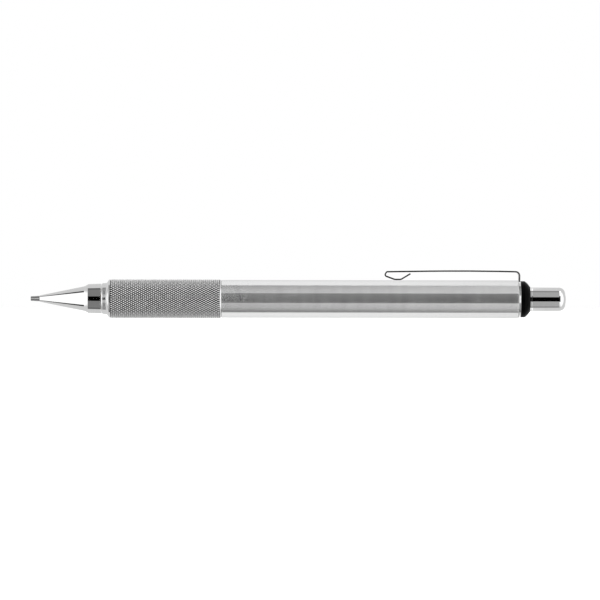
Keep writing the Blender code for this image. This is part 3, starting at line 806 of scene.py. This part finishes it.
def bent_path(corners, step_angle, longest):
    """Points of a line through (station, height, bend radius) corners, with its straights divided."""
    points = [Vector(corners[0][:2])]
    for before, corner, after in zip(corners, corners[1:], corners[2:]):
        here, bend = Vector(corner[:2]), corner[2]
        if bend == 0:
            points.append(here)
            continue
        back = (Vector(before[:2]) - here).normalized()
        ahead = (Vector(after[:2]) - here).normalized()
        half_angle = back.angle(ahead) / 2
        centre = here + (back + ahead).normalized() * bend / math.sin(half_angle)
        start = here + back * bend / math.tan(half_angle) - centre
        end = here + ahead * bend / math.tan(half_angle) - centre
        sweep = -start.angle_signed(end)
        steps = max(1, math.ceil(abs(sweep) / step_angle))
        for number in range(steps + 1):
            points.append(centre + Matrix.Rotation(sweep * number / steps, 2) @ start)
    points.append(Vector(corners[-1][:2]))
    divided = [points[0]]
    for a, b in zip(points, points[1:]):
        parts = max(1, math.ceil((b - a).length / longest))
        divided += [a.lerp(b, part / parts) for part in range(1, parts + 1)]
    return divided


def clip_strip():
    """The clip: one bent strip with rounded edges, from its foot in the ring to its curled toe."""
    hinge = frame_joint("clip_flex")["pos_m"]
    hinge_height = (hinge[2] - AXIS_Z) / MM
    foot = (125.03, 4.40, 0)
    rear_bend = (125.08, hinge_height - 0.27, 1.05)
    arm = [(116.00, 7.21, 320.0), (104.00, 7.18, 320.0), (94.50, 7.04, 70.0)]
    front_bends = [(91.05, 6.98, 0.35), (90.52, 6.00, 0.45)]
    toe = [(93.10, 5.04, 1.60), (94.75, 5.04, 1.00), (97.15, 6.50, 0)]
    path = bent_path([foot, rear_bend, *arm, *front_bends, *toe], math.radians(10), 1.2)
    distances = [0.0]
    for before, after in zip(path, path[1:]):
        distances.append(distances[-1] + (after - before).length)
    half = CLIP_THICKNESS / 2
    shape = bmesh.new()
    rings = []
    for number, point in enumerate(path):
        before, after = path[max(number - 1, 0)], path[min(number + 1, len(path) - 1)]
        along = (after - before).normalized()
        normal = Vector((-along.y, along.x))
        share = distances[number] / distances[-1]
        wide = (CLIP_REAR_WIDTH + (CLIP_FRONT_WIDTH - CLIP_REAR_WIDTH) * share) / 2
        section = eased([(-wide, -half), (wide, -half), (wide, half), (-wide, half)], CLIP_EDGE, True)
        rings.append([
            shape.verts.new(world_point(*(point + normal * up), across)) for across, up in section])
    for first, second in zip(rings, rings[1:]):
        join_rings(shape, first, second)
    shape.faces.new(rings[0])
    shape.faces.new(rings[-1])
    piece = finished(shape, "clip_strip", [CLIP_FINISH], 50)
    piece.visible_glossy = False
    piece.visible_shadow = False
    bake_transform(piece)
    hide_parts("clip_arm")


def frame_joint(name):
    return next(joint for joint in frame["joints"] if joint["name"] == name)


# ---------------------------------------------------------------- the mechanism


def sleeve_piece():
    front, rear = span("inner_sleeve")
    wide = radius("inner_sleeve")
    bore = radius("chuck_ring") + RUNNING_GAP
    behind_thread = [
        (INNER_THREAD_REAR, wide),
        (INNER_THREAD_REAR + 0.10, wide),
        (rear - 0.10, wide),
        (rear, wide - 0.10),
        (rear, SPRING_BORE),
        (PARTITION_REAR, SPRING_BORE),
        (PARTITION_REAR, PARTITION_BORE),
        (PARTITION_FRONT, PARTITION_BORE),
        (PARTITION_FRONT, bore),
    ]
    thread = (front, INNER_THREAD_REAR, THREAD_RADIUS, THREAD_PITCH, THREAD_DEPTH)
    threaded("mechanism_sleeve", [(front, bore)], thread, behind_thread,
             "front_section", BRASS_FINISH, ["inner_sleeve"])


def spring_piece():
    """The return spring as a helix with a closed turn at each end."""
    front, rear = span("return_spring")
    start, end = front + SPRING_WIRE, rear - SPRING_WIRE
    closed_pitch, open_turns, closed_turns = 0.45, 6, 1
    pitch = (end - start - 2 * closed_turns * closed_pitch) / open_turns
    coil = radius("return_spring") - SPRING_WIRE
    per_turn, sides = 40, 10
    turns = open_turns + 2 * closed_turns
    centres = []
    for number in range(turns * per_turn + 1):
        turn = number / per_turn
        first = min(turn, closed_turns)
        last = max(turn - closed_turns - open_turns, 0)
        angle = 2 * math.pi * turn
        station = start + (first + last) * closed_pitch + (turn - first - last) * pitch
        centres.append((world_point(station, coil * math.sin(angle), coil * math.cos(angle)), angle))
    shape = bmesh.new()
    rings = []
    sideways = Vector((1, 0, 0))
    for centre, angle in centres:
        outward = Vector((0, math.cos(angle), math.sin(angle)))
        ring = []
        for side in range(sides):
            turn = 2 * math.pi * side / sides
            reach = (outward * math.cos(turn) + sideways * math.sin(turn)) * SPRING_WIRE * MM
            ring.append(shape.verts.new(centre + reach))
        rings.append(ring)
    for first, second in zip(rings, rings[1:]):
        join_rings(shape, first, second)
    shape.faces.new(rings[0])
    shape.faces.new(rings[-1])
    piece = finished(shape, "spring_coil", [SPRING_FINISH])
    fit(piece, "front_section", ["return_spring"])
    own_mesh(piece)


def chuck_pieces():
    front, rear = span("chuck_ring")
    turned("clutch_ring_turned", [
        (front, CHUCK_RING_MOUTH),
        (front, radius("chuck_ring")),
        (rear, radius("chuck_ring")),
        (rear, CHUCK_RING_BORE),
        (front + 1.0, CHUCK_RING_BORE),
    ], "clutch_ring", BRASS_FINISH, ["chuck_ring"], sides=SMALL_SIDES)

    front, rear = span("chuck_body")
    turned("chuck_tube", [
        (front, CHUCK_BORE),
        (front, radius("chuck_body")),
        (rear, radius("chuck_body")),
        (rear, CHUCK_BORE),
    ], "plunger", BRASS_FINISH, ["chuck_body"], sides=SMALL_SIDES, ease=0.03)

    jaw_head = [
        (14.60, 0.38), (14.60, 1.48), (14.68, 1.57), (14.78, 1.60), (15.95, 1.60), (16.05, 1.58),
    ]
    jaw_stem = [(17.60, 1.25), (17.75, 1.15), (24.04, 1.15), (24.04, CHUCK_BORE)]
    jaw_grip = [(17.60, CHUCK_BORE), (17.45, 0.38)]
    jaw_outline = jaw_head + jaw_stem + jaw_grip
    bodies = ["jaw_top", "jaw_left", "jaw_right"]
    for number, body in enumerate(bodies):
        jaw(f"collet_finger_{number + 1}", jaw_outline, body, 90 + 120 * number, f"chuck_jaw_{number + 1}")

    front, rear = span("chuck_connector")
    wide = radius("chuck_connector")
    flange_front, flange_rear = CONNECTOR_FLANGE
    turned("tube_connector", [
        (front, CONNECTOR_FRONT_BORE),
        (front, wide),
        (front + 1.0, wide),
        (front + 1.0, CONNECTOR_WAIST),
        (flange_front, CONNECTOR_WAIST),
        (flange_front, wide),
        (flange_rear, wide),
        (flange_rear, CONNECTOR_WAIST),
        (rear, CONNECTOR_WAIST),
        (rear, CONNECTOR_REAR_BORE),
        (CONNECTOR_FUNNEL_FRONT, CHUCK_BORE),
        (CONNECTOR_SOCKET_REAR, CHUCK_BORE),
        (CONNECTOR_SOCKET_REAR, CONNECTOR_FRONT_BORE),
    ], "plunger", CONNECTOR_FINISH, ["chuck_connector"],
        sides=SMALL_SIDES, ease=0.05)


def jaw(name, outline, body, middle, node):
    """One collet finger: a sector of the turned outline, its arc in degrees about the middle."""
    steps, arc = 18, 108
    shape = bmesh.new()
    rings = []
    for number in range(steps + 1):
        angle = math.radians(middle - arc / 2 + arc * number / steps)
        rings.append([shape.verts.new(world_point(station, r * math.sin(angle), r * math.cos(angle)))
                      for station, r in outline])
    for first, second in zip(rings, rings[1:]):
        join_rings(shape, first, second)
    shape.faces.new(rings[0])
    shape.faces.new(rings[-1])
    fit(finished(shape, name, [BRASS_FINISH]), body, [node])


def lead_pieces():
    front, rear = span("lead_tube")
    turned("reservoir_tube", [
        (front, TUBE_BORE),
        (front, radius("lead_tube")),
        (rear, radius("lead_tube")),
        (rear, TUBE_BORE),
    ], "plunger", TUBE_FINISH, ["lead_tube"], sides=SMALL_SIDES)

    def stick(name, node, body):
        low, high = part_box(node)
        first, last = span(node)
        offset = ((low.y + high.y) / 2 / MM, ((low.z + high.z) / 2 - AXIS_Z) / MM)
        r = radius(node)
        turned(name, [(first, 0.0), (first, r), (last, r), (last, 0.0)], body, GRAPHITE_FINISH,
               [node], sides=24, ease=0.05, offset=offset)
    stick("lead_stick", "lead", "fed_lead")
    for number in (1, 2, 3):
        stick(f"spare_stick_{number}", f"spare_lead_{number}", "plunger")


def eraser_pieces():
    front, rear = span("eraser_ferrule")
    rim = radius("eraser_ferrule")
    flange_front, flange_rear = FERRULE_FLANGE
    turned("ferrule_cup", [
        (front, FERRULE_BORE),
        (front, FERRULE_RADIUS),
        (flange_front, FERRULE_RADIUS),
        (flange_front, rim),
        (flange_rear, rim),
        (flange_rear, FERRULE_RADIUS),
        (rear - 0.25, FERRULE_RADIUS),
        (rear, FERRULE_RADIUS - 0.07),
        (rear, FERRULE_BORE),
    ], "eraser_unit", FERRULE_FINISH, ["eraser_ferrule"],
        sides=SMALL_SIDES, ease=0.04)

    front, rear = span("eraser")
    wide = radius("eraser")
    turned("eraser_plug", [
        (front, 0.0),
        (front, wide),
        (rear - 0.30, wide),
        (rear - 0.08, wide - 0.12),
        (rear, wide - 0.32),
        (rear, 0.0),
    ], "eraser_unit", ERASER_FINISH, ["eraser"], sides=SMALL_SIDES, ease=0.12)


# ---------------------------------------------------------------- studio

CAMERA_DISTANCE = 1100.0
CAMERA_LENS = 257.8
CAMERA_STATION = 68.92
CAMERA_DROP = 0.272
CAMERA_ROLL = 0.09
FLOOR_HALF_WIDTH = 1.5
LAMP_WIDTH = 1.2
LAMP_HEIGHT = 1.3
LAMP_WATTS = 17.0

# Brightness of the light tent, where 1 is the white behind the pencil.
WHITE_WALL = 1.35
OVERHEAD_PEAK = 2.6
FAR_WALL = 0.75
BLACK_EDGE = 0.04
BLACK = 0.0

# Where the tent's parts meet along the pencil, as the sine of the angle from the plane across it.
CONE_ZONE_FRONT = -0.52
NOSE_ZONE_FRONT = -0.25
SLEEVE_ZONE_FRONT = -0.188
GAP_FRONT = -0.145
PANEL_FRONT = -0.095
PANEL_REAR = 0.045
GAP_REAR = 0.09

# Where they meet round the pencil, in degrees of turn.
PANEL_LOW = -25.5
PANEL_HIGH = 34.5
SLOT_HALF_TURN = 19.9
SLOT_WIDENING = 17.5
TENT_EDGE = 90.5


def make_camera():
    """Level side view from far off with a long lens, as the pencil is seen."""
    camera = bpy.data.objects.new("camera", bpy.data.cameras.new("camera"))
    bpy.context.scene.collection.objects.link(camera)
    camera.data.lens = CAMERA_LENS
    camera.data.sensor_width = 36.0
    camera.data.clip_start = 0.05
    camera.data.clip_end = 20.0
    camera.location = world_point(CAMERA_STATION, -CAMERA_DROP, -CAMERA_DISTANCE)
    camera.rotation_euler = (math.radians(90), math.radians(-CAMERA_ROLL), 0)
    bpy.context.scene.camera = camera
    bpy.context.scene.view_settings.view_transform = "Standard"


def make_floor():
    """Plain pale floor under the pencil."""
    material, graph = new_material("pale_floor")
    place = graph.add("ShaderNodeTexCoord").outputs["Object"]
    grain = graph.noise(place, 400.0, detail=3.0)
    mottle = graph.ramp(grain, 0.3, 0.7)
    tone = graph.blend_colour(mottle, (0.90, 0.90, 0.90, 1.0), (0.93, 0.93, 0.93, 1.0))
    shader = graph.add("ShaderNodeBsdfDiffuse", Color=tone)
    graph.add("ShaderNodeOutputMaterial", Surface=shader.outputs[0])
    shape = bmesh.new()
    bmesh.ops.create_grid(shape, x_segments=8, y_segments=8, size=FLOOR_HALF_WIDTH)
    mesh = bpy.data.meshes.new("floor")
    shape.to_mesh(mesh)
    shape.free()
    mesh.materials.append(material)
    floor = bpy.data.objects.new("floor", mesh)
    floor.visible_glossy = False
    bpy.context.scene.collection.objects.link(floor)


def make_lamp():
    """Broad overhead lamp that lifts the floor to white; the metal doesn't mirror it."""
    data = bpy.data.lights.new("overhead", "AREA")
    data.shape = "DISK"
    data.size = LAMP_WIDTH
    data.energy = LAMP_WATTS
    lamp = bpy.data.objects.new("overhead", data)
    lamp.location = (0.0, 0.0, LAMP_HEIGHT)
    lamp.visible_glossy = False
    bpy.context.scene.collection.objects.link(lamp)


def make_studio():
    """Light tent round the pencil: white walls, and a dim gap, black panel and lens slot on the lens side.

    turn is the angle about the pencil's axis in degrees, 0 towards the lens and 90 overhead; side is
    the sine of the angle away from the plane across the pencil, negative towards the tip.
    """
    world = bpy.data.worlds.new("studio")
    bpy.context.scene.world = world
    world.use_nodes = True
    graph = Graph(world.node_tree)
    direction = graph.add("ShaderNodeTexCoord").outputs["Generated"]
    side, depth, up = graph.add("ShaderNodeSeparateXYZ", Vector=direction).outputs
    toward = graph.math("MULTIPLY", depth, -1.0)
    turn = graph.math("DEGREES", graph.math("ARCTAN2", up, toward))
    turn_size = graph.math("ABSOLUTE", turn)
    side_size = graph.math("ABSOLUTE", side)

    def between(value, low, high, soft):
        """1 inside a range, falling to 0 over a soft edge."""
        rise = graph.ramp(value, low - soft / 2, low + soft / 2, smooth=True)
        fall = graph.ramp(value, high - soft / 2, high + soft / 2, 1.0, 0.0, smooth=True)
        return graph.math("MULTIPLY", rise, fall)

    def paint(level, where, tone):
        """The level changed to another tone where a mask is 1."""
        return graph.mix(where, level, tone)

    def both(first, second):
        return graph.math("MULTIPLY", first, second)

    # White wall, with the part that the cone mirrors edged in black.
    level = graph.ramp(turn_size, 66.0, 90.0, WHITE_WALL, 0.95, smooth=True)
    cone_view = between(side, CONE_ZONE_FRONT, NOSE_ZONE_FRONT, 0.02)
    level = paint(level, both(cone_view, graph.ramp(turn_size, 80.0, 81.0)), 0.72)
    level = paint(level, both(cone_view, between(turn_size, 64.0, 81.0, 1.5)), BLACK_EDGE)

    # Walls beside the gap: the one towards the button, then those that the nose and the sleeve mirror.
    below = graph.ramp(turn, -92.0, -24.0, 0.20, WHITE_WALL)
    above = graph.ramp(turn, 60.0, 90.0, 1.30, OVERHEAD_PEAK)
    sides_of_gap = graph.mix(graph.ramp(turn, 0.0, 1.0), below, above)
    level = paint(level, between(side, 0.14, 0.28, 0.02), sides_of_gap)
    nose_tone = graph.ramp(turn_size, 28.0, 36.0, 0.50, 0.28, smooth=True)
    nose_tone = paint(nose_tone, between(turn_size, -1.0, 9.0, 2.0), BLACK_EDGE)
    level = paint(level, between(side, NOSE_ZONE_FRONT, SLEEVE_ZONE_FRONT, 0.01), nose_tone)
    sleeve_tone = graph.ramp(turn_size, 16.0, 30.0, WHITE_WALL, 0.30, smooth=True)
    level = paint(level, between(side, SLEEVE_ZONE_FRONT, GAP_FRONT, 0.01), sleeve_tone)
    panel_turn = between(turn, PANEL_LOW, PANEL_HIGH, 1.0)
    level = paint(level, both(panel_turn, between(side, GAP_REAR, 0.35, 0.02)), 0.02)

    # Dim gap, with the black panel and the lens slot inside it.
    gap = between(side, GAP_FRONT, GAP_REAR, 0.01)
    gap_tone = graph.ramp(side, -0.12, 0.07, 0.23, 0.46)
    gap_tone = graph.math("MULTIPLY", gap_tone, graph.ramp(turn_size, 70.0, 78.0, 1.0, 0.68))
    level = paint(level, gap, gap_tone)
    panel = both(between(side, PANEL_FRONT, PANEL_REAR, 0.01), panel_turn)
    level = paint(level, panel, BLACK)
    slot_half = graph.math("MULTIPLY_ADD", side, SLOT_WIDENING, SLOT_HALF_TURN)
    slot = graph.ramp(graph.math("SUBTRACT", turn_size, slot_half), -0.5, 0.5, 1.0, 0.0)
    level = paint(level, both(gap, slot), BLACK)

    # Far side of the tent, with the dark panel that the clip's leg mirrors.
    back_peak = graph.ramp(turn_size, 110.0, 165.0, 1.62, 0.78)
    back_wall = graph.mix(graph.ramp(side_size, 0.05, 0.062), back_peak, FAR_WALL)
    level = paint(level, graph.ramp(turn_size, TENT_EDGE, TENT_EDGE + 2.0), back_wall)
    far_panel = both(graph.ramp(turn_size, 170.0, 173.0), between(side, -0.07, -0.03, 0.01))
    level = paint(level, far_panel, 0.03)

    sight = graph.add("ShaderNodeLightPath").outputs["Is Camera Ray"]
    strength = paint(level, sight, 1.0)
    background = graph.add("ShaderNodeBackground", Color=(1.0, 1.0, 1.0, 1.0), Strength=strength)
    graph.add("ShaderNodeOutputWorld", Surface=background.outputs[0])


make_camera()
make_floor()
make_lamp()
make_studio()
tip_pieces()
knurled_grip()
barrel_pieces()
button_piece()
clip_strip()
sleeve_piece()
spring_piece()
chuck_pieces()
lead_pieces()
eraser_pieces()
